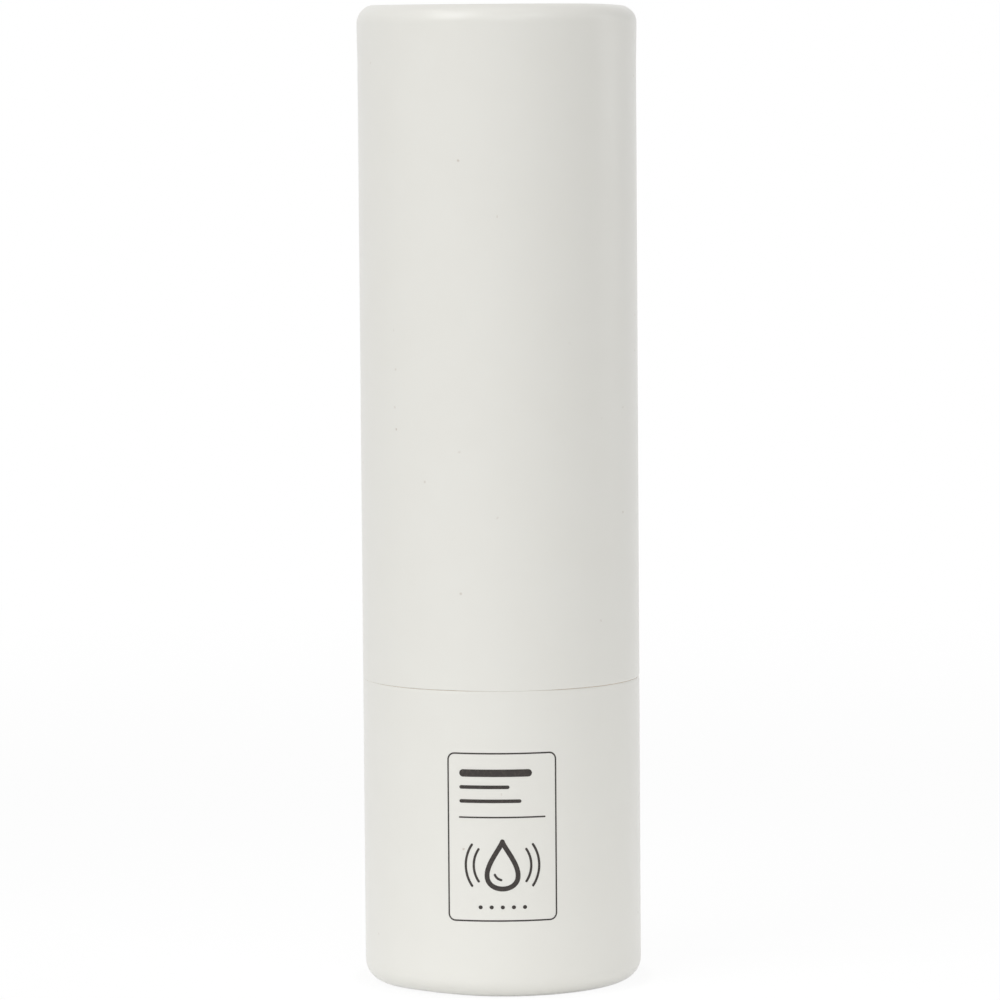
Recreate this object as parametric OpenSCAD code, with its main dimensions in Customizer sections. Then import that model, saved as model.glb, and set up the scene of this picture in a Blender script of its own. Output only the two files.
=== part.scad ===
// Twist-up lip balm stick. The casing is two board tubes with curled ends, a long cap over a short base.
// The base turns a left-hand screw, which lifts the balm out of a plastic sleeve.
// Millimetres. The origin is the centre of the underside, +Z is up and the front faces -Y.

/* [Case] */
// Outer diameter of the cap and the base
case_d = 19; // [18:0.5:24]
// Height of the closed stick
case_h = 66.9; // [66.3:0.2:80]
// Height of the base, up to the seam
base_h = 20.9; // [19:0.1:21.2]
// Open gap at the seam between the cap and the base
seam_gap = 0.12; // [0.05:0.01:0.3]
// Thickness of the board that the tubes are wound from
board_t = 0.95; // [0.7:0.05:1.2]
// Thickness of the board discs in the two ends
disc_t = 0.8; // [0.5:0.05:1]

/* [Curled ends] */
// Outer radius of the curl round the top
top_curl_r = 1.3; // [1.25:0.05:1.8]
// Outer radius of the curl round the foot
foot_curl_r = 1.4; // [1.25:0.05:1.8]
// How far the top curl stands out past the tube
top_flare = 0.04; // [0:0.01:0.1]
// Length of tube over which it flares to the curl
flare_h = 3; // [1:0.5:6]
// Depth by which a curl is pressed flat
curl_flat = 0.04; // [0.02:0.01:0.1]
// Length of the curl's edge past its half turn, down to the disc
curl_leg = 0.14; // [0.1:0.02:0.5]
// Radius that softens the cut edge of the base at the seam
base_lip_r = 0.3; // [0.1:0.05:0.4]
// Radius that softens the cut edge of the cap at the seam
cap_lip_r = 0.15; // [0.05:0.05:0.4]

/* [Cap liner] */
// Wall of the liner
liner_wall = 0.5; // [0.4:0.05:0.55]
// Thickness of the liner's top
liner_top = 0.6; // [0.4:0.1:0.8]
// How far the liner's mouth clears the sleeve's collar
liner_rise = 0.3; // [0.2:0.1:1]

/* [Drive cup] */
// Wall of the drive cup
cup_wall = 0.6; // [0.55:0.05:0.9]
// Thickness of the drive cup's floor
cup_floor = 2.2; // [2:0.1:2.6]
// How far the drive cup's rim lies under the edge of the base
cup_drop = 0.3; // [0.2:0.05:0.6]
// Radius of the snap bead that holds the sleeve down
snap_r = 0.45; // [0.35:0.05:0.5]
// How far the snap bead stands in from the drive cup's wall
snap_bite = 0.3; // [0.15:0.05:0.35]
// Height of the snap bead above the drive cup's floor
snap_up = 5; // [3:0.5:8]
// Number of stretches that the snap bead is split into
snap_count = 4; // [2:1:6]
// Angle that one stretch covers
snap_arc = 50; // [20:5:55]

/* [Glue grooves] */
// Number of grooves round the liner and round the drive cup
groove_count = 3; // [1:1:3]
// Height of one groove
groove_h = 1.2; // [0.6:0.1:2]
// Depth of one groove
groove_depth = 0.15; // [0.1:0.05:0.2]
// Distance from one groove to the next
groove_pitch = 4; // [3:0.5:5]

/* [Sleeve] */
// Length of sleeve above the seam
sleeve_out = 17; // [15:0.1:17.3]
// Wall of the sleeve
sleeve_wall = 0.85; // [0.8:0.05:1.2]
// Height of the sleeve's collar
collar_h = 1.1; // [0.8:0.1:2]
// Number of guide ribs inside the sleeve
rib_count = 4; // [2:1:6]
// Width of a guide rib
rib_w = 0.9; // [0.6:0.1:1.4]
// Height of a guide rib
rib_h = 0.3; // [0.2:0.05:0.4]
// Height above the seam of the ring that the liner grips
click_up = 5; // [3:0.5:9]
// Width of that ring
click_w = 0.9; // [0.6:0.1:1.5]

/* [Screw] */
// Rise of the balm for one turn of the base
screw_lead = 4; // [3:0.25:5]
// Number of threads side by side on the screw
screw_starts = 2; // [1:1:3]
// How far below the sleeve's mouth the carrier stops when the balm is fully up
carrier_stop = 1.1; // [0.8:0.1:4]
// Radius at the bottom of the screw's thread
screw_root_r = 1.55; // [1.3:0.05:1.8]
// Radius at the top of the screw's thread
screw_crest_r = 2.3; // [2.1:0.05:2.4]
// Diameter of the screw's foot
foot_d = 7.2; // [6.5:0.1:9]
// Thickness of the screw's foot
foot_t = 1; // [0.7:0.1:1.2]
// Width across the flats of the hexagon above the foot
hex_af = 4.8; // [4.8:0.1:5.6]
// Length of the plain tip
tip_h = 0.6; // [0.4:0.1:0.8]

/* [Carrier] */
// Height of the carrier cup
carrier_h = 6; // [5.6:0.1:6.2]
// Thickness of the carrier's floor
carrier_floor = 1; // [0.8:0.1:1.5]
// Wall of the carrier cup
carrier_wall = 0.75; // [0.7:0.05:1]
// Height of the nut in the middle of the carrier
nut_h = 5; // [4.4:0.2:5.2]
// Wall of the nut outside the thread
nut_wall = 1.1; // [0.8:0.1:1.4]
// Number of fins that hold the balm
fin_count = 4; // [2:1:6]
// Thickness of a fin
fin_t = 0.6; // [0.4:0.1:1]
// Height of a fin above the carrier's floor
fin_h = 3.2; // [2:0.2:3.6]

/* [Balm] */
// How far the balm's tip lies under the sleeve's mouth
tip_drop = 0.5; // [0.3:0.1:0.8]
// Radius of the crown across the tip
crown_r = 20; // [14:1:40]
// Radius round the edge of the tip
tip_edge_r = 1; // [0.5:0.1:1.5]

/* [Clearances] */
// Between pieces that are glued or pressed together
fixed_gap = 0.04; // [0.02:0.01:0.1]
// Between surfaces that turn or slide on each other
running_gap = 0.08; // [0.05:0.01:0.1]
// Between the liner and the ring that it grips
click_gap = 0.04; // [0.03:0.01:0.06]
// Between the sleeve's collar and the mouth of the cap
collar_gap = 0.2; // [0.1:0.05:0.4]
// Under a piece that turns above a floor
floor_gap = 0.3; // [0.2:0.05:0.5]
// Between the screw and the threads of the carrier
thread_gap = 0.14; // [0.1:0.01:0.2]
// Between the balm and what it was cast against
balm_gap = 0.05; // [0.03:0.01:0.08]

/* [Hidden] */
$fn = 96;

// A cut runs past the surface that it opens by this much.
over = 0.2;

// Small radii and bevels that the moulded pieces share.
soft_r = 0.25;
corner_r = 0.5;
bevel = 0.35;

// Radii from the outside of the case to the middle.
case_r = case_d / 2;
wall_r = case_r - board_t;
cup_r = wall_r - fixed_gap;
cup_in_r = cup_r - cup_wall;
sleeve_r = cup_in_r - running_gap;
sleeve_in_r = sleeve_r - sleeve_wall;
liner_in_r = cup_r - liner_wall;
click_r = liner_in_r - click_gap;
collar_r = wall_r - collar_gap;
snap_x = cup_in_r - snap_bite + snap_r;
carrier_r = sleeve_in_r - running_gap;
carrier_in_r = carrier_r - carrier_wall;
rib_in_r = sleeve_in_r - rib_h;
balm_r = sleeve_in_r - balm_gap;
nut_r = screw_crest_r + thread_gap + nut_wall;
bore_r = screw_crest_r + thread_gap;

// Heights from the foot up.
base_disc_z = foot_curl_r - curl_flat + curl_leg;
cup_z = base_disc_z + disc_t;
cup_floor_z = cup_z + cup_floor;
cup_top_z = base_h - cup_drop;
snap_z = cup_floor_z + snap_up;
sleeve_z = cup_floor_z + floor_gap;
collar_z = cup_top_z + running_gap;
sleeve_top_z = base_h + sleeve_out;
carrier_z = cup_floor_z + floor_gap;
carrier_top_z = carrier_z + carrier_h;
carrier_floor_z = carrier_z + carrier_floor;
nut_top_z = carrier_z + nut_h;
fin_top_z = carrier_floor_z + fin_h;
balm_rise = sleeve_top_z - carrier_stop - carrier_top_z;
thread_top_z = nut_top_z + balm_rise - nut_h / 4;
screw_top_z = thread_top_z + tip_h;
balm_top_z = sleeve_top_z - tip_drop;
cap_z = base_h + seam_gap;
liner_z = collar_z + collar_h + liner_rise;
click_z = base_h + click_up;
cap_disc_z = case_h - (top_curl_r - curl_flat + curl_leg) - disc_t;

// The ribs stop short of the sleeve's two ends.
rib_z = sleeve_z + corner_r;
rib_top_z = sleeve_top_z - 2 * corner_r;

// The screw's section turns by this step in each slice. A thread has a crest and two flanks, then the root.
step_deg = 18;
crest_deg = 50 / screw_starts;
flank_deg = 70 / screw_starts;

// What a corner at (x, y) loses when it is rounded. Its material lies towards -sx and -sy.
module corner_cut(x, y, sx, sy, r) {
    translate([x, y]) mirror([sx < 0 ? 1 : 0, 0]) mirror([0, sy < 0 ? 1 : 0]) difference() {
        translate([-r, -r]) square(r + over);
        translate([-r, -r]) circle(r);
    }
}

// A rectangle with rounded corners. The radii go round from the corner at (x0, y0): next is (x1, y0).
module outline(x0, x1, y0, y1, radii) {
    corners = [[x0, y0, -1, -1], [x1, y0, 1, -1], [x1, y1, 1, 1], [x0, y1, -1, 1]];
    difference() {
        translate([x0, y0]) square([x1 - x0, y1 - y0]);
        for (i = [0:3]) if (radii[i] > 0)
            corner_cut(corners[i][0], corners[i][1], corners[i][2], corners[i][3], radii[i]);
    }
}

// The bevel that opens a round mouth at height y. up is 1 if the mouth faces up and -1 if it faces down.
module mouth_bevel(r, y, up) {
    polygon([[r - over, y - up * bevel], [r, y - up * bevel],
             [r + bevel + over, y + up * over], [r - over, y + up * over]]);
}

// Copies of its children at even angles round the axis.
module around(count) {
    for (i = [0:count - 1]) rotate([0, 0, i * 360 / count]) children();
}

// A block along a radius, from r0 out to r1.
module spoke(r0, r1, width, z0, z1) {
    translate([r0, -width / 2, z0]) cube([r1 - r0, width, z1 - z0]);
}

// A hexagonal prism that stands on its end, by its width across the flats.
module hexagon(height, af) {
    cylinder(h = height, d = af / cos(30), $fn = 6);
}

// A board tube that stands on its cut mouth, with its far end curled inwards through half a turn.
module board_tube(length, curl_r, flare, lip_r) {
    curl_x = case_r + flare - curl_r;
    curl_y = length + curl_flat - curl_r;
    hollow_r = curl_r - board_t;
    rotate_extrude() difference() {
        union() {
            polygon([[wall_r, 0], [case_r, 0], [case_r, curl_y - flare_h], [case_r + flare, curl_y],
                     [wall_r + flare, curl_y], [wall_r, curl_y - flare_h]]);
            intersection() {
                translate([curl_x, curl_y]) circle(curl_r);
                translate([curl_x - curl_r, curl_y]) square([2 * curl_r, curl_r - curl_flat]);
            }
            translate([curl_x - curl_r, curl_y - curl_leg]) square([board_t, curl_leg]);
        }
        translate([curl_x, curl_y]) circle(hollow_r);
        corner_cut(case_r, 0, 1, -1, lip_r);
    }
}

// Shallow rings round the outside of a plastic cup, where the glue is held. The lowest starts at height y.
module glue_grooves(y) {
    for (i = [0:groove_count - 1])
        translate([cup_r - groove_depth, y + i * groove_pitch]) square([groove_depth + over, groove_h]);
}

// The screw's cross-section, grown on every side by gap.
function polar(r, a) = [r * cos(a), r * sin(a)];
function screw_outline(gap) =
    let (root = screw_root_r + gap, crest = screw_crest_r + gap, middle = (root + crest) / 2,
         pitch = 360 / screw_starts, top = crest_deg / 2 + gap * 180 / screw_lead, foot = top + flank_deg)
    [for (start = [0:screw_starts - 1]) each [
        polar(crest, start * pitch - top), polar(crest, start * pitch), polar(crest, start * pitch + top),
        polar(middle, start * pitch + (top + foot) / 2), polar(root, start * pitch + foot),
        polar(root, (start + 0.5) * pitch), polar(root, (start + 1) * pitch - foot),
        polar(middle, (start + 1) * pitch - (top + foot) / 2)]];

// A left-hand thread from z0 up to z1. Its angle depends on the height alone, so screw and nut are in step.
module thread(z0, z1, gap) {
    turn = (z1 - z0) * 360 / screw_lead;
    points = screw_outline(gap);
    translate([0, 0, z0]) rotate([0, 0, -z0 * 360 / screw_lead])
        linear_extrude(height = z1 - z0, twist = turn, slices = ceil(turn / step_deg), $fn = len(points))
            polygon(points);
}

module cap_tube() {
    color([0.885, 0.88, 0.86])
        translate([0, 0, cap_z]) board_tube(case_h - cap_z, top_curl_r, top_flare, cap_lip_r);
}

module cap_disc() {
    color([0.86, 0.855, 0.835]) translate([0, 0, cap_disc_z]) cylinder(h = disc_t, r = wall_r - fixed_gap);
}

module cap_liner() {
    color([0.93, 0.935, 0.93]) rotate_extrude() difference() {
        outline(0, cup_r, liner_z, cap_disc_z, [0, 0, soft_r, 0]);
        outline(0, liner_in_r, liner_z - over, cap_disc_z - liner_top, [0, 0, corner_r, 0]);
        mouth_bevel(liner_in_r, liner_z, -1);
        glue_grooves(liner_z + groove_pitch);
    }
}

module base_tube() {
    color([0.9, 0.895, 0.875])
        translate([0, 0, base_h]) mirror([0, 0, 1]) board_tube(base_h, foot_curl_r, 0, base_lip_r);
}

module base_disc() {
    color([0.87, 0.865, 0.845]) translate([0, 0, base_disc_z]) cylinder(h = disc_t, r = wall_r - fixed_gap);
}

module drive_cup() {
    color([0.93, 0.935, 0.93]) {
        difference() {
            rotate_extrude() difference() {
                outline(0, cup_r, cup_z, cup_top_z, [0, soft_r, 0, 0]);
                outline(0, cup_in_r, cup_floor_z, cup_top_z + over, [0, soft_r, 0, 0]);
                mouth_bevel(cup_in_r, cup_top_z, 1);
                glue_grooves(cup_floor_z);
            }
            translate([0, 0, cup_z - over])
                cylinder(h = over + foot_t + fixed_gap, d = foot_d + 2 * fixed_gap);
            translate([0, 0, cup_z]) hexagon(cup_floor + over, hex_af + 2 * fixed_gap);
        }
        around(snap_count) rotate_extrude(angle = snap_arc) difference() {
            translate([snap_x, snap_z]) circle(snap_r);
            translate([cup_in_r + cup_wall / 2, snap_z - snap_r]) square(2 * snap_r);
        }
    }
}

module spindle() {
    color([0.95, 0.95, 0.94]) {
        translate([0, 0, cup_z]) cylinder(h = foot_t, d = foot_d);
        translate([0, 0, cup_z]) hexagon(cup_floor, hex_af);
        thread(cup_floor_z - foot_t / 2, thread_top_z, 0);
        translate([0, 0, thread_top_z - tip_h])
            cylinder(h = 2 * tip_h, r1 = screw_root_r, r2 = screw_root_r - bevel);
    }
}

module sleeve() {
    core_r = sleeve_in_r + sleeve_wall / 2;
    color([0.955, 0.96, 0.955]) {
        rotate_extrude() difference() {
            union() {
                outline(sleeve_in_r, sleeve_r, sleeve_z, sleeve_top_z, [0, soft_r, soft_r, soft_r]);
                outline(core_r, collar_r, collar_z, collar_z + collar_h, [0, 0, soft_r, 0]);
                outline(core_r, click_r, click_z, click_z + click_w, [0, soft_r, soft_r, 0]);
            }
            translate([snap_x, snap_z]) circle(snap_r + running_gap);
        }
        around(rib_count) spoke(rib_in_r, core_r, rib_w, rib_z, rib_top_z);
    }
}

// The fins stand midway between the ribs' notches.
module fins(width, z0, z1) {
    around(fin_count) rotate([0, 0, 180 / rib_count])
        spoke(nut_r - nut_wall / 2, carrier_in_r + carrier_wall / 2, width, z0, z1);
}

// The notches that clear the sleeve's ribs by gap, from the carrier's floor up past the ribs.
module rib_notches(gap) {
    around(rib_count) spoke(rib_in_r - gap, case_r, rib_w + 2 * gap, carrier_z - over, rib_top_z + gap);
}

module carrier() {
    color([0.94, 0.94, 0.92]) difference() {
        union() {
            rotate_extrude() difference() {
                outline(0, carrier_r, carrier_z, carrier_top_z, [0, soft_r, soft_r, 0]);
                outline(0, carrier_in_r, carrier_floor_z, carrier_top_z + over, [0, soft_r, 0, 0]);
            }
            translate([0, 0, carrier_z]) cylinder(h = nut_h, r = nut_r);
            fins(fin_t, carrier_floor_z - carrier_floor / 2, fin_top_z);
        }
        thread(carrier_z - over, nut_top_z + over, thread_gap);
        rib_notches(running_gap);
    }
}

// The balm's tip: a wide crown that runs into a small radius round the edge.
module tip_outline() {
    edge_x = balm_r - tip_edge_r;
    crown_y = balm_top_z - crown_r;
    edge_y = crown_y + sqrt(pow(crown_r - tip_edge_r, 2) - pow(edge_x, 2));
    translate([edge_x, edge_y]) circle(tip_edge_r);
    intersection() {
        translate([0, crown_y]) circle(crown_r);
        translate([0, edge_y]) square([edge_x * crown_r / (crown_r - tip_edge_r), crown_r]);
    }
    translate([0, carrier_top_z + balm_gap]) square([balm_r, edge_y - carrier_top_z - balm_gap]);
}

module balm() {
    color([0.96, 0.93, 0.82]) difference() {
        rotate_extrude() difference() {
            union() {
                tip_outline();
                outline(0, carrier_in_r - balm_gap, carrier_floor_z, carrier_top_z + corner_r,
                        [0, corner_r, 0, 0]);
            }
            square([nut_r + balm_gap, nut_top_z + balm_gap]);
            square([bore_r, screw_top_z + floor_gap]);
        }
        fins(fin_t + 2 * balm_gap, carrier_z, fin_top_z + balm_gap);
        rib_notches(balm_gap);
    }
}

cap_tube();
cap_disc();
cap_liner();
base_tube();
base_disc();
drive_cup();
spindle();
sleeve();
carrier();
balm();
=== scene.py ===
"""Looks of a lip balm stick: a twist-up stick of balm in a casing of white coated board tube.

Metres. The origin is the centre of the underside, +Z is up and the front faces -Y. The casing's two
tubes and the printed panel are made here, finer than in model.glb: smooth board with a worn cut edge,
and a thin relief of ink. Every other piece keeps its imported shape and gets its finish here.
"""
import math

import bpy
import numpy as np
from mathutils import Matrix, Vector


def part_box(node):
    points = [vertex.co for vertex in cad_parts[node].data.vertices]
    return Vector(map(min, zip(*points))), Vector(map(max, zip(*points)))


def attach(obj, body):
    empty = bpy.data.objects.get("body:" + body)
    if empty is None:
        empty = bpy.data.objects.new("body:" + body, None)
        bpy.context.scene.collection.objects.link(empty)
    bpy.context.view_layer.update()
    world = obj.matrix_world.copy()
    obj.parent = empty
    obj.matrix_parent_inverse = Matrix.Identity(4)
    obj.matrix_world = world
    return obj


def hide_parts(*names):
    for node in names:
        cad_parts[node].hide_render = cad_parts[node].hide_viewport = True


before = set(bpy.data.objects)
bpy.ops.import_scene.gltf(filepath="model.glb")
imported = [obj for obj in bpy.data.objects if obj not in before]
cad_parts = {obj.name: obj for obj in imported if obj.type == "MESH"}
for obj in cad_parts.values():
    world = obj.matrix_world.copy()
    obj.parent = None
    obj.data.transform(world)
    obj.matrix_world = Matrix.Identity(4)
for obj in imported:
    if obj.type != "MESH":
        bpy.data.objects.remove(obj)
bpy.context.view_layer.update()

MM = 0.001
TAU = 2 * math.pi

# Casing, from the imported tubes
_, CAP_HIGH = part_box("cap_tube")
_, BASE_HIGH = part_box("base_tube")
CASE_R = BASE_HIGH.x
TOP_FLARE = CAP_HIGH.x - BASE_HIGH.x
CAP_TOP_Z = CAP_HIGH.z
BASE_MOUTH_Z = BASE_HIGH.z
SEAM_GAP = 0.002 * MM
CAP_MOUTH_Z = BASE_MOUTH_Z + SEAM_GAP

# Casing, sizes that a box doesn't show, and turns in degrees
BOARD_T = 0.95 * MM
TOP_CURL_R = 1.3 * MM
FOOT_CURL_R = 1.4 * MM
CURL_FLAT = 0.04 * MM
CURL_LEG = 0.14 * MM
FLARE_H = 3 * MM
CAP_LIP_R = 0.22 * MM
CAP_LIP_TURN = 34
BASE_LIP_R = 0.8 * MM
BASE_LIP_TURN = 21
CUT_EDGE_R = 0.04 * MM


# Camera, at the photograph's viewing angle: metres, degrees, and the lens and its sensor in millimetres

CAMERA_BACK = 0.3837
CAMERA_UP = 0.06507
CAMERA_PITCH = 4.777
CAMERA_ROLL = -0.429
CAMERA_LENS = 201.95
CAMERA_SENSOR_W = 36


def add_camera():
    """A long lens level with the top of the stick, looking slightly down."""
    data = bpy.data.cameras.new("camera")
    data.lens = CAMERA_LENS
    data.sensor_width = CAMERA_SENSOR_W
    data.clip_start = 0.01
    data.clip_end = 20
    camera = bpy.data.objects.new("camera", data)
    camera.rotation_mode = "ZYX"
    camera.rotation_euler = (math.radians(90 - CAMERA_PITCH), 0, math.radians(CAMERA_ROLL))
    camera.location = (0, -CAMERA_BACK, CAMERA_UP)
    bpy.context.scene.collection.objects.link(camera)
    bpy.context.scene.camera = camera


# Shader maths

class Value:
    """A number or colour that a material works out from place to place. Arithmetic on it adds Math
    nodes."""

    def __init__(self, finish, socket):
        self.finish = finish
        self.socket = socket

    def math(self, operation, *others):
        """What a Math node makes of this value and the others."""
        return self.finish.math(operation, self, *others)

    def __add__(self, other):
        return self.math("ADD", other)

    def __sub__(self, other):
        return self.math("SUBTRACT", other)

    def __rsub__(self, other):
        return self.finish.math("SUBTRACT", other, self)

    def __mul__(self, other):
        return self.math("MULTIPLY", other)

    __radd__ = __add__
    __rmul__ = __mul__

    def also(self, output):
        """Another output of the same node."""
        return Value(self.finish, self.socket.node.outputs[output])

    def between(self, low, high):
        """0 where the value is at low, 1 where it is at high, with a soft step in between."""
        inputs = {"Value": self, "From Min": low, "From Max": high}
        return self.finish.node("ShaderNodeMapRange", {"interpolation_type": "SMOOTHSTEP"}, inputs)

    def either(self, other):
        """The larger of two masks."""
        return self.math("MAXIMUM", other)


class Finish:
    """A material in the making: one surface shader, and the nodes that feed its sockets."""

    def __init__(self, name, constants):
        self.material = bpy.data.materials.new(name)
        self.material.use_nodes = True
        self.tree = self.material.node_tree
        self.shader = self.tree.nodes["Principled BSDF"]
        for socket, value in constants.items():
            self.shader.inputs[socket].default_value = value
        self.place = self.node("ShaderNodeTexCoord", output="Object")

    def node(self, kind, settings=(), inputs=(), output=0):
        """An output of a new node. Its settings come first, then values or links for its sockets."""
        made = self.tree.nodes.new(kind)
        for key, value in dict(settings).items():
            setattr(made, key, value)
        for key, value in dict(inputs).items():
            self.feed(made.inputs[key], value)
        return Value(self, made.outputs[output])

    def feed(self, socket, value):
        """Links a value to a socket, or sets the socket where the value is a plain number or colour."""
        if isinstance(value, Value):
            self.tree.links.new(value.socket, socket)
        else:
            socket.default_value = value

    def math(self, operation, *values):
        """What a Math node makes of the values."""
        return self.node("ShaderNodeMath", {"operation": operation}, dict(enumerate(values)))

    def mix(self, first, second, share):
        """The first colour, turning into the second as share goes from 0 to 1."""
        return self.node("ShaderNodeMix", {"data_type": "RGBA"}, {0: share, 6: first, 7: second}, output=2)

    def distance(self, spot):
        """How far each point of the surface is from a spot of the object, in metres."""
        ends = {0: self.place, 1: spot}
        return self.node("ShaderNodeVectorMath", {"operation": "DISTANCE"}, ends, output="Value")

    def stretched(self, x, y, z):
        """Object coordinates on which a pattern is drawn out by x, y and z."""
        inputs = {"Vector": self.place, "Scale": (1 / x, 1 / y, 1 / z)}
        return self.node("ShaderNodeMapping", {}, inputs)

    def noise(self, size, detail=2.0, place=None):
        """Smooth noise from about 0.25 to 0.75, with blotches of that size in metres."""
        inputs = {"Vector": place or self.place, "Scale": 1 / size, "Detail": detail}
        return self.node("ShaderNodeTexNoise", {}, inputs)

    def bump(self, height, depth):
        """Relief, depth metres high where height goes from 0 to 1. Each call adds to the ones before it."""
        inputs = {"Height": height, "Distance": depth, "Strength": 1.0}
        before = self.shader.inputs["Normal"].links
        if before:
            inputs["Normal"] = Value(self, before[0].from_socket)
        self.feed(self.shader.inputs["Normal"], self.node("ShaderNodeBump", {}, inputs))

    def grain(self, size, depth, detail):
        """Relief of smooth noise, with blotches of that size and about depth metres high."""
        self.bump(self.noise(size, detail), depth)

    def paint(self, colour, roughness):
        """Feeds the colour and the roughness, and gives the material."""
        self.feed(self.shader.inputs["Base Color"], colour)
        self.feed(self.shader.inputs["Roughness"], roughness)
        return self.material


def screen(red, green, blue):
    """A colour given in screen levels from 0 to 255, as the linear colour that a shader takes."""
    levels = np.array([red, green, blue]) / 255
    linear = np.where(levels <= 0.04045, levels / 12.92, ((levels + 0.055) / 1.055) ** 2.4)
    return (*linear, 1.0)


# Meshes

def wrapped_grid(rows, columns):
    """The quads of a grid that closes on itself both ways, as their corners' row and column numbers. The
    numbers run on past the last row and column, so that a pattern runs on over the join."""
    row, column = np.meshgrid(np.arange(rows), np.arange(columns), indexing="ij")
    corner_row = np.stack([row, row, row + 1, row + 1], axis=-1).reshape(-1, 4)
    corner_column = np.stack([column, column + 1, column + 1, column], axis=-1).reshape(-1, 4)
    return corner_row, corner_column


def make_mesh(name, points, faces):
    """A smooth mesh of quads from an array of points and one of corner numbers."""
    mesh = bpy.data.meshes.new(name)
    mesh.vertices.add(len(points))
    mesh.vertices.foreach_set("co", np.ascontiguousarray(points, np.float32).ravel())
    mesh.loops.add(faces.size)
    mesh.loops.foreach_set("vertex_index", np.ascontiguousarray(faces, np.int32).ravel())
    mesh.polygons.add(len(faces))
    mesh.polygons.foreach_set("loop_start", np.arange(0, faces.size, 4, dtype=np.int32))
    mesh.polygons.foreach_set("use_smooth", np.ones(len(faces), bool))
    mesh.update(calc_edges=True)
    return mesh


def add_piece(mesh, material, body, stands_for=()):
    """A piece that rides on a body and may stand for nodes of the frame."""
    mesh.materials.append(material)
    piece = bpy.data.objects.new(mesh.name, mesh)
    bpy.context.scene.collection.objects.link(piece)
    if stands_for:
        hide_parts(*stands_for)
    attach(piece, body)


def arc(centre_r, centre_h, radius, start, end, steps):
    """Points (r, h) on a round stretch: centre + radius (cos t, sin t), t in degrees from start to end."""
    t = np.radians(np.linspace(start, end, steps + 1))
    return np.stack([centre_r + radius * np.cos(t), centre_h + radius * np.sin(t)], axis=1)


def straight(start, end, steps):
    """Points (r, h) on a straight stretch without its ends, crowded towards them by a cosine."""
    share = (1 - np.cos(np.linspace(0, math.pi, steps + 1)[1:-1])) / 2
    return np.array(start) + share[:, None] * (np.array(end) - np.array(start))


def ripple(angle, waves, seed):
    """A wavy line round the axis from -1 to 1: a sum of sines with those numbers of waves. The seed draws
    their phases and their heights."""
    draw = np.random.default_rng(seed)
    phases = draw.uniform(0, TAU, len(waves))
    heights = draw.uniform(0.5, 1, len(waves))
    total = sum(high * np.sin(n * angle + phase) for n, phase, high in zip(waves, phases, heights))
    return total / heights.sum()


def bell(x, centre, width):
    """1 at the centre, falling off smoothly over the width to either side."""
    return np.exp(-(((x - centre) / width) ** 2))


def soft_step(x, low, high):
    """0 below low, 1 above high, and 3 t^2 - 2 t^3 in between."""
    t = np.clip((x - low) / (high - low), 0, 1)
    return t * t * (3 - 2 * t)


# Board tubes of the casing

BOARD_MAP = "board"
TUBE_COLUMNS = 360

# Curls. A dent is (degrees from the front, spread in degrees, depth)
PLEAT_WAVES = (23, 31, 38, 47)
PLEAT_DEPTH = 0.012 * MM
CAP_PLEAT_SEED = 5
BASE_PLEAT_SEED = 9
PRESS_ROUNDING = 0.01 * MM
TOP_DENT = (88, 30, 0.12 * MM)
FOOT_DENT = (-38, 24, 0.1 * MM)

# Cut mouths at the seam. A place is (degrees from the front, spread in degrees), and an open one has its gap
MOUTH_H = 1.4 * MM
MOUTH_WAVES = (2, 3, 5, 9)
MOUTH_STRAY = 0.001 * MM
CAP_MOUTH_SEED = 3
BASE_MOUTH_SEED = 7
MOUTH_OPEN = ((-21, 7, 0.007 * MM), (64, 22, 0.008 * MM), (170, 60, 0.006 * MM))
MOUTH_TIGHT = ((-80, 18), (5, 15))
TIGHT_FILL = 0.95
LIP_DEPTH = 0.06 * MM
BURR = (48, 26)
BURR_OUT = 0.02 * MM


def tube_outline(length, curl_r, lip_r, lip_turn):
    """The wall's closed outline (r, h): from its mouth at h = 0 up the outside and round the curl to the
    cut end on the disc, then back down the inside. The outside meets the cut mouth in an arc of radius
    lip_r that turns by lip_turn degrees. With it comes how many of its points, from the first one on, lie
    on the coated side."""
    curl_r_at, curl_h_at = CASE_R - curl_r, length + CURL_FLAT - curl_r
    inner_r = CASE_R - BOARD_T
    fold_r = curl_r - BOARD_T
    edge_h = curl_h_at - CURL_LEG
    lip_h = lip_r * math.sin(math.radians(lip_turn))
    lip_start = CASE_R - lip_r * (1 - math.cos(math.radians(lip_turn)))
    coated = [
        arc(CASE_R - lip_r, lip_h, lip_r, -lip_turn, 0, steps=10),
        straight((CASE_R, lip_h), (CASE_R, curl_h_at), steps=48),
        arc(curl_r_at, curl_h_at, curl_r, 0, 180, steps=36),
        arc(curl_r_at - curl_r + CUT_EDGE_R, edge_h + CUT_EDGE_R, CUT_EDGE_R, 180, 270, steps=3),
    ]
    bare = [
        arc(curl_r_at - fold_r - CUT_EDGE_R, edge_h + CUT_EDGE_R, CUT_EDGE_R, 270, 360, steps=3),
        arc(curl_r_at, curl_h_at, fold_r, 180, 0, steps=18),
        straight((inner_r, curl_h_at), (inner_r, CUT_EDGE_R), steps=16),
        arc(inner_r + CUT_EDGE_R, CUT_EDGE_R, CUT_EDGE_R, 180, 270, steps=3),
        straight((inner_r + CUT_EDGE_R, 0), (lip_start, 0), steps=6),
    ]
    return np.concatenate(coated + bare), sum(len(stretch) for stretch in coated)


def pleats(angle, r, curl_r, seed):
    """Fine pleats where the curl squeezes the board: a ripple that grows from nothing on the rim to the
    curl's inner edge."""
    inward = np.clip((CASE_R - curl_r - r) / curl_r, 0, 1)
    return PLEAT_DEPTH * inward * ripple(angle, PLEAT_WAVES, seed)


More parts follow.
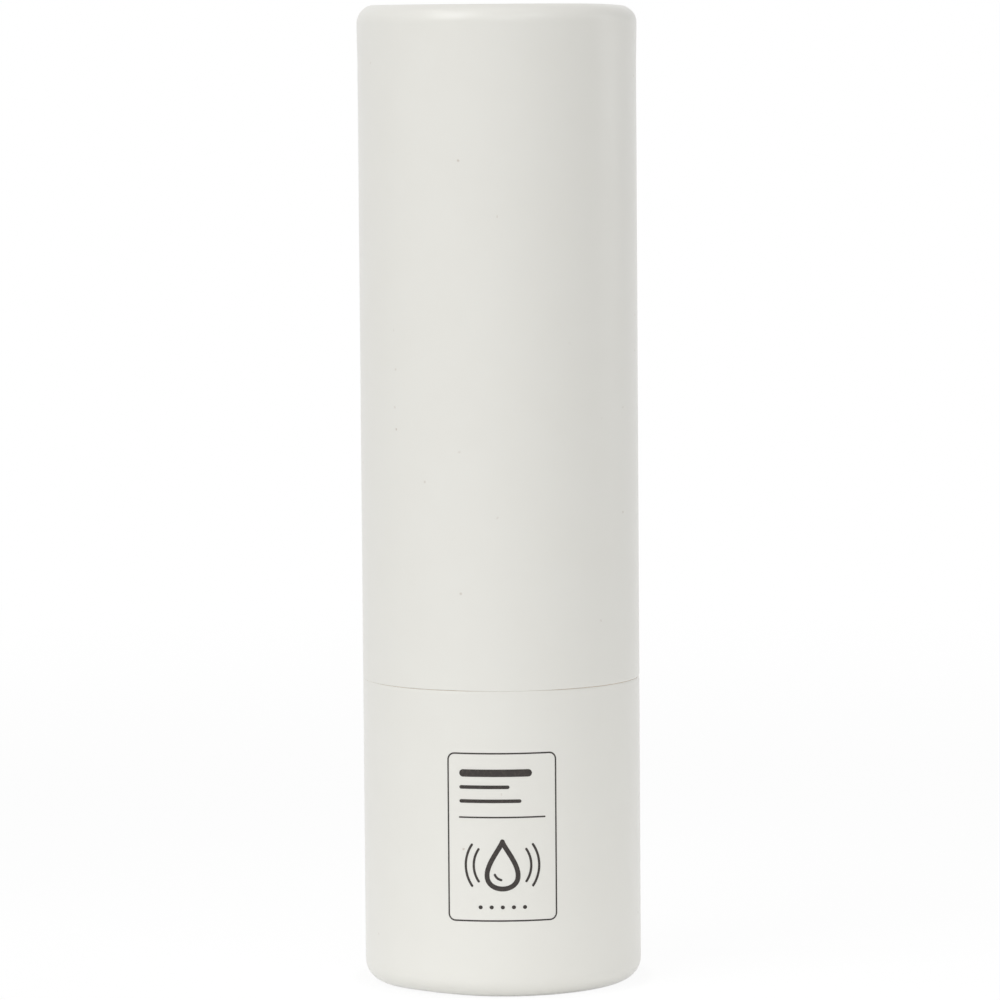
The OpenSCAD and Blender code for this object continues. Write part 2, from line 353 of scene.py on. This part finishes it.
def pressed(h, length):
    """The shift that presses the curl flat: the softly rounded lower one of h and the length, less h."""
    lower = -PRESS_ROUNDING * np.logaddexp(-h / PRESS_ROUNDING, -length / PRESS_ROUNDING)
    return lower - h


def places_round(angle, places):
    """A bell of height 1 at each place round the tube, given as (degrees from the front, spread)."""
    degrees = np.degrees((angle + math.pi) % TAU - math.pi)
    return sum(bell(degrees, place, spread) for place, spread in places)


def dented(angle, h, length, curl_r, dent):
    """How far the curl's crest is knocked down at its dent: a bell round the tube times a soft step up the
    curl."""
    place, spread, depth = dent
    return -depth * places_round(angle, [(place, spread)]) * soft_step(h, length - curl_r, length)


def cut_wave(angle, seed):
    """How far a cut edge keeps back as it waves, from 0 to the mouth's stray: (1 + ripple) / 2."""
    return MOUTH_STRAY * (1 + ripple(angle, MOUTH_WAVES, seed)) / 2


def open_mouth(angle):
    """How far the cap's cut edge stands open: a bell at each open place, as high as its gap."""
    return sum(gap * places_round(angle, [(place, spread)]) for place, spread, gap in MOUTH_OPEN)


def filled_lip(angle, r, near_mouth):
    """How far the rounded lip stands out again where the two mouths are pressed tight: a share of what the
    lip falls short of the case."""
    return TIGHT_FILL * np.clip(CASE_R - r, 0, LIP_DEPTH) * places_round(angle, MOUTH_TIGHT) * near_mouth


def cap_stray(angle, r, h):
    """Where the cap's board strays from a true tube, as (dr, dh): it flares to the curl, its mouth stands
    out a little at the front right, its cut edge waves and stands open in places, and its curl is
    pleated and has a dent."""
    length = CAP_TOP_Z - CAP_MOUTH_Z
    near_mouth = 1 - soft_step(h, 0, MOUTH_H)
    curl_h = length + CURL_FLAT - TOP_CURL_R
    flare = TOP_FLARE * soft_step(h, curl_h - FLARE_H, curl_h)
    burr = BURR_OUT * places_round(angle, [BURR]) * near_mouth
    out = flare + burr + filled_lip(angle, r, near_mouth) + pleats(angle, r, TOP_CURL_R, CAP_PLEAT_SEED)
    on_curl = pressed(h, length) + dented(angle, h, length, TOP_CURL_R, TOP_DENT)
    return out, on_curl + (cut_wave(angle, CAP_MOUTH_SEED) + open_mouth(angle)) * near_mouth


def base_stray(angle, r, h):
    """Where the base's board strays from a true tube, as (dr, dh): its cut edge waves, and its curl is
    pleated and has a dent."""
    near_mouth = 1 - soft_step(h, 0, MOUTH_H)
    out = filled_lip(angle, r, near_mouth) + pleats(angle, r, FOOT_CURL_R, BASE_PLEAT_SEED)
    on_curl = pressed(h, BASE_MOUTH_Z) + dented(angle, h, BASE_MOUTH_Z, FOOT_CURL_R, FOOT_DENT)
    return out, on_curl + cut_wave(angle, BASE_MOUTH_SEED) * near_mouth


def add_tube(name, node, body, mouth_z, way, outline, stray, finish):
    """The outline turned round the axis, with the mouth at mouth_z and the curl above it (way 1) or below
    it (way -1). stray gives each point's shift (dr, dh) from its angle, r and h. The map holds, in
    metres, the way round the case and the way along the outline, which is 0 at the curl's cut end and
    below 0 on the coated side."""
    points, coated = outline
    angle = np.arange(TUBE_COLUMNS) * TAU / TUBE_COLUMNS
    r, h = points[:, :1], points[:, 1:]
    dr, dh = stray(angle[None, :], r, h)
    radius = r + dr
    height = mouth_z + way * (h + dh)
    grid = np.stack([radius * np.sin(angle), -radius * np.cos(angle), height], axis=-1)
    row, column = wrapped_grid(len(points), TUBE_COLUMNS)
    faces = (row % len(points)) * TUBE_COLUMNS + column % TUBE_COLUMNS
    steps = np.linalg.norm(np.roll(points, -1, axis=0) - points, axis=1)
    along = np.concatenate([[0], np.cumsum(steps)])
    along -= along[coated - 1]
    places = np.stack([column * TAU * CASE_R / TUBE_COLUMNS, along[row]], axis=-1)
    if way < 0:
        faces, places = faces[:, ::-1], places[:, ::-1]
    mesh = make_mesh(name, grid.reshape(-1, 3), faces)
    mesh.uv_layers.new(name=BOARD_MAP).data.foreach_set("uv", places.astype(np.float32).ravel())
    add_piece(mesh, finish(name + "_board", along[0]), body, (node,))


def add_casing():
    """The cap's tube and the base's, which meet mouth to mouth at the seam."""
    cap = tube_outline(CAP_TOP_Z - CAP_MOUTH_Z, TOP_CURL_R, CAP_LIP_R, CAP_LIP_TURN)
    base = tube_outline(BASE_MOUTH_Z, FOOT_CURL_R, BASE_LIP_R, BASE_LIP_TURN)
    add_tube("cap_casing", "cap_tube", "cap", CAP_MOUTH_Z, 1, cap, cap_stray, coated_board)
    add_tube("base_casing", "base_tube", "base", BASE_MOUTH_Z, -1, base, base_stray, coated_board)


# Finish of the casing: white coated board

COAT = screen(233, 232, 226)
COAT_SHADE = screen(229, 227, 220)
KRAFT = screen(180, 147, 106)
KRAFT_PALE = screen(206, 180, 142)
FIBRE = screen(150, 122, 92)

MOTTLE_SIZE = 3.5 * MM
MOTTLE_SHARE = 0.22
COAT_ROUGHNESS = 0.27
BARE_ROUGHER = 0.5
COAT_SWELL = 1.1 * MM
COAT_SWELL_DEPTH = 0.0018 * MM
COAT_GRAIN = 0.2 * MM
COAT_GRAIN_DEPTH = 0.0006 * MM

FLECK_CELL = 2.6 * MM
FLECK_R = 0.13 * MM
FLECK_CORE = 0.2
FLECK_BEND = 0.12 * MM
FLECK_BEND_SIZE = 0.25 * MM
FLECK_RARITY = (0.9, 0.93)
FLECK_SHARE = 0.4

KRAFT_FIBRE = 0.5 * MM
KRAFT_SQUEEZE = 0.3
KRAFT_DEPTH = 0.02 * MM
WORN_EDGE = 0.008 * MM
RAGGED_SIZE = 0.6 * MM

# Shares of a tight place's reach within which the edge is spared, and the share of the wear that it is spared
TIGHT_CORE = 0.6
TIGHT_RIM = 1.5
TIGHT_SPARED = 0.85


def pressed_tight(finish):
    """1 where the two mouths are pressed tight together and their edges aren't worn, 0 elsewhere: a soft
    round spot at each tight place."""
    total = 0.0
    for place, spread in MOUTH_TIGHT:
        angle, reach = math.radians(place), CASE_R * math.radians(spread)
        spot = (CASE_R * math.sin(angle), -CASE_R * math.cos(angle), BASE_MOUTH_Z)
        away = finish.distance(spot)
        total = (1 - away.between(TIGHT_CORE * reach, TIGHT_RIM * reach)).either(total)
    return total


def fibre_flecks(finish, board_map):
    """How strongly the few brown fibres in the coat show, from 0 to 1: a small bent spot in every cell of a
    pattern, of which only the rare ones show."""
    swirl = {"Vector": board_map, "Scale": 1 / FLECK_BEND_SIZE}
    warp = finish.node("ShaderNodeTexNoise", {}, swirl, output="Color")
    bend = {0: warp, 1: (FLECK_BEND, FLECK_BEND, 0), 2: board_map}
    bent = finish.node("ShaderNodeVectorMath", {"operation": "MULTIPLY_ADD"}, bend)
    cells = {"Vector": bent, "Scale": 1 / FLECK_CELL}
    cell = finish.node("ShaderNodeTexVoronoi", {"voronoi_dimensions": "2D"}, cells)
    drawn = finish.node("ShaderNodeSeparateColor", {}, {"Color": cell.also("Color")})
    near = 1 - cell.between(FLECK_CORE * FLECK_R / FLECK_CELL, FLECK_R / FLECK_CELL)
    return near * drawn.between(*FLECK_RARITY) * drawn.also("Green")


def coated_board(name, coat_start):
    """White coated board: a smooth satin coat with a faint mottle and a few brown fibres, and bare kraft
    board inside and on the cut edges. coat_start is where the coat begins on the map, at the mouth."""
    finish = Finish(name, {"IOR": 1.48})
    board_map = finish.node("ShaderNodeUVMap", {"uv_map": BOARD_MAP})
    along = finish.node("ShaderNodeSeparateXYZ", {}, {"Vector": board_map}, output="Y")
    mottle = finish.noise(MOTTLE_SIZE, detail=3)
    coat = finish.mix(COAT, COAT_SHADE, mottle.between(0.25, 0.8) * MOTTLE_SHARE)
    coat = finish.mix(coat, FIBRE, fibre_flecks(finish, board_map) * FLECK_SHARE)

    fibres = finish.noise(KRAFT_FIBRE, detail=4, place=finish.stretched(1, 1, KRAFT_SQUEEZE))
    bare = finish.mix(KRAFT, KRAFT_PALE, fibres.between(0.35, 0.7))
    ragged = finish.noise(RAGGED_SIZE, detail=3) * WORN_EDGE
    worn = 1 - pressed_tight(finish) * TIGHT_SPARED
    at_mouth = 1 - (along - coat_start - ragged * worn).between(0, worn * WORN_EDGE)
    at_curl = (along + ragged).between(0, WORN_EDGE)
    uncoated = at_mouth.either(at_curl)

    finish.grain(COAT_SWELL, COAT_SWELL_DEPTH, detail=1)
    finish.grain(COAT_GRAIN, COAT_GRAIN_DEPTH, detail=3)
    finish.bump(fibres * uncoated, KRAFT_DEPTH)
    roughness = COAT_ROUGHNESS + 0.06 * mottle + BARE_ROUGHER * uncoated
    return finish.paint(finish.mix(coat, bare, uncoated), roughness)


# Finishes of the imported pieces: pressed board, moulded plastic and cast balm

DISC = screen(232, 230, 223)
DISC_SHADE = screen(219, 215, 205)
MILKY = screen(236, 236, 231)
MILKY_SHADE = screen(228, 229, 224)
SLEEVE_WHITE = screen(240, 240, 237)
SLEEVE_SHADE = screen(234, 234, 230)
IVORY = screen(242, 228, 190)
IVORY_DEEP = screen(235, 215, 168)

DISC_ROUGHNESS = 0.6
DISC_FIBRE = 0.18 * MM
DISC_FIBRE_DRAWN = 2.5
DISC_FIBRE_DEPTH = 0.012 * MM
DISC_CLOUD = 1.6 * MM
DISC_CLOUD_SHARE = 0.35
DISC_SPECK = 0.3 * MM
DISC_SPECK_SHARE = 0.5

SWIRL_SIZE = 2.4 * MM
SWIRL_DRAWN = 4
SINK_SIZE = 1.5 * MM
SINK_DEPTH = 0.003 * MM
MOULD_GRAIN = 0.09 * MM
MOULD_GRAIN_DEPTH = 0.0015 * MM
PLASTIC_SOAK_REACH = 0.6 * MM

BALM_ROUGHNESS = 0.3
BALM_SOAK = 0.45
BALM_SOAK_REACH = 1.6 * MM
BALM_CLOUD = 3 * MM
BALM_CLOUD_SHARE = 0.4
BALM_SWELL = 0.8 * MM
BALM_SWELL_DEPTH = 0.012 * MM
BLOOM_SIZE = 0.35 * MM
BLOOM_DEPTH = 0.004 * MM
PINHOLE_CELL = 1.3 * MM
PINHOLE_R = (0.03, 0.09)
PINHOLE_DEPTH = 0.03 * MM


def disc_board(name):
    """Plain matte board of the end discs, with short pressed fibres."""
    finish = Finish(name, {"IOR": 1.45})
    fibres = finish.noise(DISC_FIBRE, detail=4, place=finish.stretched(DISC_FIBRE_DRAWN, 1, 1))
    clouds = finish.noise(DISC_CLOUD, detail=3)
    board = finish.mix(DISC, DISC_SHADE, clouds.between(0.35, 0.8) * DISC_CLOUD_SHARE)
    specks = finish.noise(DISC_SPECK, detail=1).between(0.73, 0.78)
    finish.bump(fibres, DISC_FIBRE_DEPTH)
    return finish.paint(finish.mix(board, FIBRE, specks * DISC_SPECK_SHARE), DISC_ROUGHNESS + 0.25 * fibres)


def moulded_plastic(name, colour, shade, roughness, soak):
    """Moulded milky plastic: light soaks in a little, with a faint swirl, slight sinks and the fine matte of
    the mould."""
    finish = Finish(name, {"IOR": 1.5, "Subsurface Weight": soak, "Subsurface Scale": PLASTIC_SOAK_REACH})
    swirl = finish.noise(SWIRL_SIZE, detail=2, place=finish.stretched(1, 1, SWIRL_DRAWN))
    finish.grain(SINK_SIZE, SINK_DEPTH, detail=1)
    finish.grain(MOULD_GRAIN, MOULD_GRAIN_DEPTH, detail=2)
    return finish.paint(finish.mix(colour, shade, swirl.between(0.3, 0.7)), roughness + 0.12 * swirl)


def balm_wax(name):
    """Cast balm: soft, ivory and a little see-through, with a greasy sheen and the odd pinhole."""
    soaked = {"Subsurface Weight": BALM_SOAK, "Subsurface Scale": BALM_SOAK_REACH}
    finish = Finish(name, {"IOR": 1.44, **soaked})
    clouds = finish.noise(BALM_CLOUD, detail=3)
    bloom = finish.noise(BLOOM_SIZE, detail=3)
    pores = finish.node("ShaderNodeTexVoronoi", {}, {"Vector": finish.place, "Scale": 1 / PINHOLE_CELL})
    pinhole = 1 - pores.between(*PINHOLE_R)
    finish.grain(BALM_SWELL, BALM_SWELL_DEPTH, detail=2)
    finish.bump(bloom, BLOOM_DEPTH)
    finish.bump(1 - pinhole, PINHOLE_DEPTH)
    colour = finish.mix(IVORY, IVORY_DEEP, clouds.between(0.3, 0.75) * BALM_CLOUD_SHARE)
    return finish.paint(colour, BALM_ROUGHNESS + 0.22 * bloom + 0.2 * pinhole)


def finish_packed_pieces():
    """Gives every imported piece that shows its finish."""
    sleeve = moulded_plastic("sleeve_white", SLEEVE_WHITE, SLEEVE_SHADE, roughness=0.28, soak=0.1)
    milky = moulded_plastic("milky_plastic", MILKY, MILKY_SHADE, roughness=0.34, soak=0.2)
    finishes = {
        disc_board("end_disc_board"): ("cap_disc", "base_disc"),
        milky: ("cap_liner", "drive_cup", "spindle", "carrier"),
        sleeve: ("sleeve",),
        balm_wax("cast_balm"): ("balm",),
    }
    for material, nodes in finishes.items():
        for node in nodes:
            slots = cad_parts[node].data.materials
            slots.clear()
            slots.append(material)


# Printed panel: a thin relief of ink on the front of the base, with u round the case and v up it

INK = screen(42, 36, 33)
INK_THIN = screen(64, 57, 52)
INK_ROUGHNESS = 0.5
INK_BLOTCH = 0.16 * MM
INK_PROUD = 0.012 * MM
INK_SUNK = 0.01 * MM
PANEL_X = -0.015 * MM
PANEL_Z = 11.015 * MM
PANEL_HALF_W = 3.71 * MM
PANEL_HALF_H = 5.675 * MM
PANEL_CORNER = 0.45 * MM
PANEL_MARGIN = 0.8 * MM
HAIRLINE = 0.1 * MM
PATH_STEP = 0.3 * MM
END_TURNS = (4, 25, 45, 65, 85)

# Bars, each as (length, thickness), a rule, a drop with its shine, waves and dots. Spans are in degrees
BAR_TOP = 4.35 * MM
BAR_STEP = 0.95 * MM
BARS = ((4.7 * MM, 0.5 * MM), (3.3 * MM, 0.24 * MM), (4.1 * MM, 0.24 * MM))
RULE_V = 1.35 * MM
DROP_V = -1.9 * MM
DROP_HALF_W = 1.15 * MM
DROP_HALF_H = 1.6 * MM
DROP_BELLY = 1.3
DROP_LINE = 0.33 * MM
SHINE_V = DROP_V - 0.45 * MM
SHINE_R = 0.55 * MM
SHINE_SPAN = (200, 260)
SHINE_LINE = 0.16 * MM
WAVE_RADII = (1.95 * MM, 2.5 * MM)
WAVE_LINE = 0.16 * MM
WAVE_SPAN = 34
DOT_V = -4.75 * MM
DOT_STEP = 0.75 * MM
DOT_COUNT = 5
DOT_LINE = 0.26 * MM
DOT_HALF = 0.01 * MM


def stepped(path):
    """The path (n, 2) with points added at even steps, so that a long side follows the round case."""
    lengths = np.linalg.norm(np.diff(path, axis=0), axis=1)
    along = np.concatenate([[0], np.cumsum(lengths)])
    even = np.linspace(0, along[-1], max(2, math.ceil(along[-1] / PATH_STEP)) + 1)
    at = np.unique(np.concatenate([along, even]))
    return np.stack([np.interp(at, along, path[:, k]) for k in (0, 1)], axis=1)


def frame_path(half_w, half_h, corner):
    """A closed rectangle with round corners, from the middle of its right side."""
    corners = [
        arc(side_u * (half_w - corner), side_v * (half_h - corner), corner, start, start + 90, steps=6)
        for side_u, side_v, start in ((1, 1, 0), (-1, 1, 90), (-1, -1, 180), (1, -1, 270))
    ]
    middle = np.array([[half_w, 0.0]])
    return np.concatenate([middle, *corners, middle])


def drop_path(half_w, half_h, steps=64):
    """A closed drop from its tip: u = belly w sin t sin^1.5(t / 2), v = h cos t."""
    t = np.linspace(0, TAU, steps + 1)
    u = half_w * DROP_BELLY * np.sin(t) * np.sin(t / 2) ** 1.5
    return np.stack([u, half_h * np.cos(t)], axis=1)


def stroke(path, line):
    """A line of ink along an open path (n, 2), with round ends: points (n, 4, 3) of its four-cornered
    section as (u, v, height). The ends narrow as half a circle does, in steps at the end turns."""
    path = stepped(path)
    turn = np.radians(END_TURNS)
    heading = np.gradient(path, axis=0)
    heading /= np.linalg.norm(heading, axis=1)[:, None]
    reach = line / 2 * np.cos(turn)[:, None]
    path = np.concatenate([path[0] - reach * heading[0], path, path[-1] + reach[::-1] * heading[-1]])
    ends = [np.repeat(heading[:1], len(turn), axis=0), np.repeat(heading[-1:], len(turn), axis=0)]
    heading = np.concatenate([ends[0], heading, ends[1]])
    half = line / 2 * np.concatenate([np.sin(turn), np.ones(len(path) - 2 * len(turn)), np.sin(turn[::-1])])
    side = np.stack([-heading[:, 1], heading[:, 0]], axis=1) * half[:, None]
    left, right = path + side, path - side
    corners = [(left, INK_PROUD), (right, INK_PROUD), (right, -INK_SUNK), (left, -INK_SUNK)]
    return np.stack([np.column_stack([at, np.full(len(at), high)]) for at, high in corners], axis=1)


def panel_strokes():
    """Every line of the panel, centred on it: a border, three bars, a rule, a drop between waves and dots."""
    left = -PANEL_HALF_W + PANEL_MARGIN
    strokes = [(frame_path(PANEL_HALF_W, PANEL_HALF_H, PANEL_CORNER), HAIRLINE)]
    for number, (length, line) in enumerate(BARS):
        v = BAR_TOP - number * BAR_STEP
        strokes.append((np.array([[left + line / 2, v], [left + length, v]]), line))
    strokes.append((np.array([[left, RULE_V], [-left, RULE_V]]), HAIRLINE))
    strokes.append((drop_path(DROP_HALF_W, DROP_HALF_H) + (0, DROP_V), DROP_LINE))
    strokes.append((arc(0, SHINE_V, SHINE_R, *SHINE_SPAN, steps=10), SHINE_LINE))
    for radius in WAVE_RADII:
        for facing in (0, 180):
            span = (facing - WAVE_SPAN, facing + WAVE_SPAN)
            strokes.append((arc(0, DROP_V, radius, *span, steps=24), WAVE_LINE))
    for number in range(DOT_COUNT):
        u = (number - (DOT_COUNT - 1) / 2) * DOT_STEP
        strokes.append((np.array([[u - DOT_HALF, DOT_V], [u + DOT_HALF, DOT_V]]), DOT_LINE))
    return [stroke(path, line) for path, line in strokes]


def print_ink(name):
    """Thin dark brown ink, a little uneven where the board takes it up."""
    finish = Finish(name, {"IOR": 1.5})
    uneven = finish.noise(INK_BLOTCH, detail=3)
    colour = finish.mix(INK, INK_THIN, uneven.between(0.4, 0.8))
    return finish.paint(colour, INK_ROUGHNESS + 0.1 * uneven)


def add_panel():
    """The strokes joined in one mesh and laid round the case: angle = u / r, r = case + height."""
    points, faces, first = [], [], 0
    for tube in panel_strokes():
        rows = len(tube)
        row, column = wrapped_grid(rows, 4)
        sides = (row * 4 + column % 4)[: (rows - 1) * 4]
        ends = np.array([[3, 2, 1, 0], [4 * rows - 4, 4 * rows - 3, 4 * rows - 2, 4 * rows - 1]])
        faces.append(np.concatenate([sides, ends]) + first)
        points.append(tube.reshape(-1, 3))
        first += 4 * rows
    u, v, height = np.concatenate(points).T
    angle, radius = (PANEL_X + u) / CASE_R, CASE_R + height
    placed = np.stack([radius * np.sin(angle), -radius * np.cos(angle), PANEL_Z + v], axis=1)
    mesh = make_mesh("panel_print", placed, np.concatenate(faces))
    mesh.polygons.foreach_set("use_smooth", np.zeros(len(mesh.polygons), bool))
    add_piece(mesh, print_ink("print_ink"), "base")


# Studio: a white floor and world, and soft lamps

FLOOR_HALF = 3.0
WORLD_FILL = 0.32
WHITE = (1.0, 1.0, 1.0, 1.0)
BLACK = (0.0, 0.0, 0.0, 1.0)
FLOOR_SHOWN_LIT = 0.08
SHADOW_NEAR = 60 * MM
SHADOW_FAR = 260 * MM
# Painted pool of light: the floor glows round the stick though it is no lamp, fading out from this place
PAINTED_GLOW_PLACE = (10 * MM, -12 * MM, 0)
PAINTED_GLOW_NEAR = 8 * MM
PAINTED_GLOW_FAR = 130 * MM
PAINTED_GLOW_LEVEL = 0.26
# Painted shadow: within this radius of the stick the floor's glow is left out, with this soft edge
FOOT_PAINTED_SHADOW_R = 10.3 * MM
FOOT_PAINTED_SHADOW_SOFT = 0.05


def seen_directly(tree):
    """1 for rays from the camera, from gloss and through glass, 0 for those that carry soft light."""
    path = tree.nodes.new("ShaderNodeLightPath")
    total = path.outputs["Is Camera Ray"]
    for name in ("Is Glossy Ray", "Is Transmission Ray"):
        adding = tree.nodes.new("ShaderNodeMath")
        adding.operation = "MAXIMUM"
        tree.links.new(total, adding.inputs[0])
        tree.links.new(path.outputs[name], adding.inputs[1])
        total = adding.outputs[0]
    return total


def add_world():
    """A world that shows white and lights softly at its fill level."""
    world = bpy.data.worlds.new("studio")
    world.use_nodes = True
    tree = world.node_tree
    background = tree.nodes["Background"]
    background.inputs["Color"].default_value = WHITE
    level = tree.nodes.new("ShaderNodeMapRange")
    level.inputs["To Min"].default_value = WORLD_FILL
    level.inputs["To Max"].default_value = 1.0
    tree.links.new(seen_directly(tree), level.inputs["Value"])
    tree.links.new(level.outputs["Result"], background.inputs["Strength"])
    bpy.context.scene.world = world


def add_floor():
    """A wide white floor. Seen directly it is plain white, and near the stick the lit floor with its
    shadows shows through that. Round the stick it glows a little, a painted pool of light though the floor
    is no lamp, and under its foot the glow is left out as painted shadow."""
    matte = {"Base Color": WHITE, "Roughness": 1.0, "Specular IOR Level": 0.0}
    finish = Finish("floor_white", {**matte, "Emission Strength": PAINTED_GLOW_LEVEL})
    finish.material.cycles.emission_sampling = "NONE"
    from_stick = finish.distance((0, 0, 0))
    painted_shadow_edge = ((1 - FOOT_PAINTED_SHADOW_SOFT) * FOOT_PAINTED_SHADOW_R, (1 + FOOT_PAINTED_SHADOW_SOFT) * FOOT_PAINTED_SHADOW_R)
    fading = 1 - finish.distance(PAINTED_GLOW_PLACE).between(PAINTED_GLOW_NEAR, PAINTED_GLOW_FAR)
    # Painted glow round the stick, left out under its foot as painted shadow
    painted_glow = finish.mix(BLACK, WHITE, fading * from_stick.between(*painted_shadow_edge))
    finish.feed(finish.shader.inputs["Emission Color"], painted_glow)

    plain = finish.node("ShaderNodeEmission", {}, {"Color": WHITE})
    faded = from_stick.between(SHADOW_NEAR, SHADOW_FAR) * FLOOR_SHOWN_LIT + (1 - FLOOR_SHOWN_LIT)
    direct = Value(finish, seen_directly(finish.tree))
    lit = Value(finish, finish.shader.outputs["BSDF"])
    blend = finish.node("ShaderNodeMixShader", {}, {0: direct * faded, 1: lit, 2: plain})
    finish.feed(finish.tree.nodes["Material Output"].inputs["Surface"], blend)

    corners = np.array([(-1, -1, 0), (1, -1, 0), (1, 1, 0), (-1, 1, 0)]) * FLOOR_HALF
    mesh = make_mesh("floor", corners, np.array([[0, 1, 2, 3]]))
    mesh.materials.append(finish.material)
    floor = bpy.data.objects.new("floor", mesh)
    bpy.context.scene.collection.objects.link(floor)


# Each lamp: name, azimuth from the front towards +X, elevation, width, height and radiance
LAMPS = (
    ("key", -44, 44, 0.5, 0.6, 3.4),
    ("front", 10, 30, 0.4, 0.5, 1.3),
    ("kicker", 105, 12, 0.4, 0.6, 1.15),
    ("top", 0, 85, 0.5, 0.5, 0.8),
    ("left_glint", -84, 60, 0.08, 0.06, 20.0),
    ("right_glint", 36, 44, 0.08, 0.06, 26.0),
)
LAMP_DISTANCE = 0.9
LAMP_TARGET_Z = 35 * MM


def add_lamps():
    """Soft square lamps on a dome round the stick, each aimed at its middle. A lamp of radiance 1 looks
    white."""
    for name, azimuth, elevation, width, height, radiance in LAMPS:
        a, e = math.radians(azimuth), math.radians(elevation)
        toward = np.array([math.sin(a) * math.cos(e), -math.cos(a) * math.cos(e), math.sin(e)])
        data = bpy.data.lights.new(name, "AREA")
        data.shape = "RECTANGLE"
        data.size, data.size_y = width, height
        data.energy = radiance * math.pi * width * height
        lamp = bpy.data.objects.new(name, data)
        lamp.location = toward * LAMP_DISTANCE + (0, 0, LAMP_TARGET_Z)
        lamp.rotation_euler = (math.pi / 2 - e, 0, a)
        bpy.context.scene.collection.objects.link(lamp)


add_camera()
add_casing()
finish_packed_pieces()
add_panel()
add_world()
add_floor()
add_lamps()

bpy.context.scene.view_settings.view_transform = "Standard"
